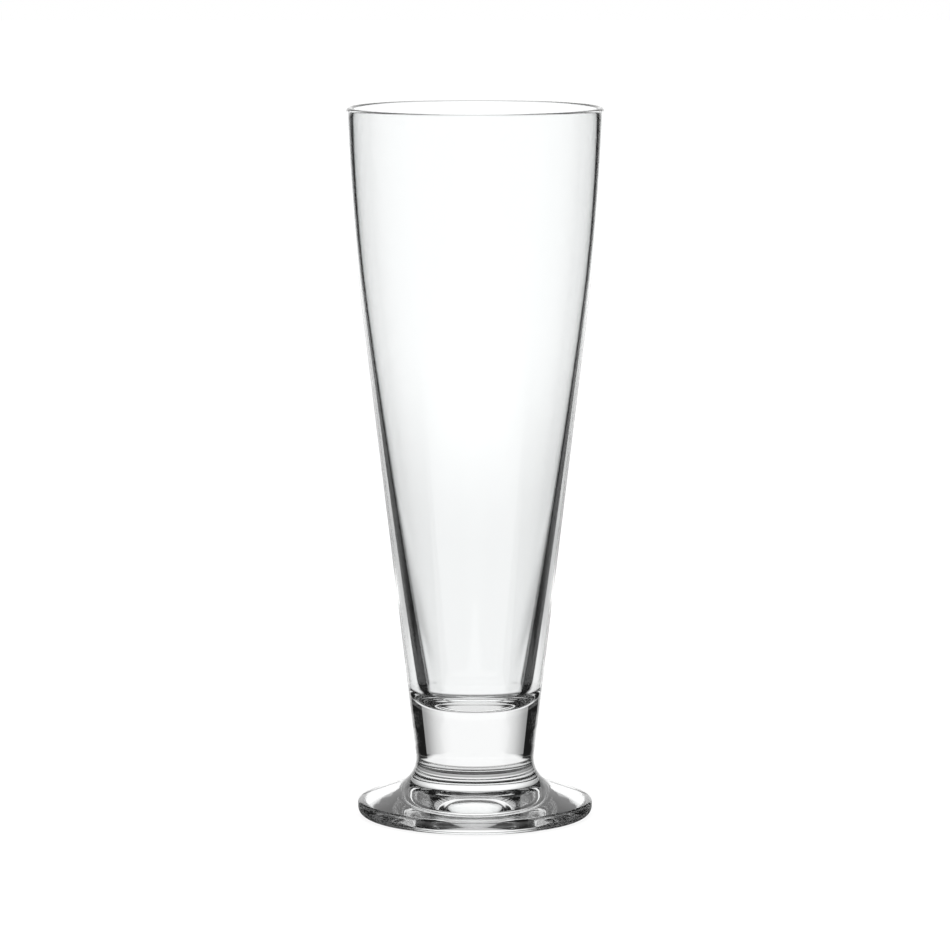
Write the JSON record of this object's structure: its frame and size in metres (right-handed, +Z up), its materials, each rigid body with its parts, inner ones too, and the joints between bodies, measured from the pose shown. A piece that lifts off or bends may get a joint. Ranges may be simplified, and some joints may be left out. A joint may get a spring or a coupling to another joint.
{
  "type": "footed pilsner beer glass",
  "caption": "Tall clear footed pilsner beer glass: a thin tapering bowl on a short solid stem and a round flared foot, for serving about half a litre of beer.",
  "frame": {"origin": "on the table, under the middle of the foot", "axes": "+Z up along the glass's axis, out of the mouth; X and Y are free, because the glass is round"},
  "size_m": [0.0797, 0.0796, 0.222],
  "materials": {
    "bowl_glass": "blown clear soda-lime glass, fire-polished at the lip",
    "stem_glass": "solid clear soda-lime glass, fire-polished",
    "foot_glass": "pressed clear soda-lime glass, fire-polished"
  },
  "bodies": {
    "root": {"bowl": "bowl_glass", "stem": "stem_glass", "foot": "foot_glass"}
  },
  "joints": []
}
